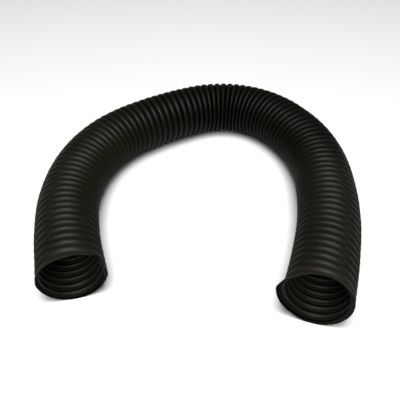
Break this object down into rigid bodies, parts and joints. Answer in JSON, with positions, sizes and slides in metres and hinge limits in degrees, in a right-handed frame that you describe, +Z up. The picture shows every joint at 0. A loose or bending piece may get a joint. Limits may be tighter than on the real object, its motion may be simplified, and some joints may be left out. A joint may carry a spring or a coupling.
{
  "type": "flexible vacuum hose",
  "caption": "Straight-cut length of ribbed rubber vacuum hose with a wavy wall, lying on the floor in a loose arch, open at both ends.",
  "frame": {"origin": "centre of the bounding box on the floor the hose lies on", "axes": "+Z up, both mouths look towards -Y, the bend of the arch lies towards +Y, +X towards the leg whose lip is pulled out"},
  "size_m": [0.46, 0.5158, 0.086],
  "materials": {
    "rubber": "satin"
  },
  "bodies": {
    "root": {"hose": "rubber"}
  },
  "joints": []
}
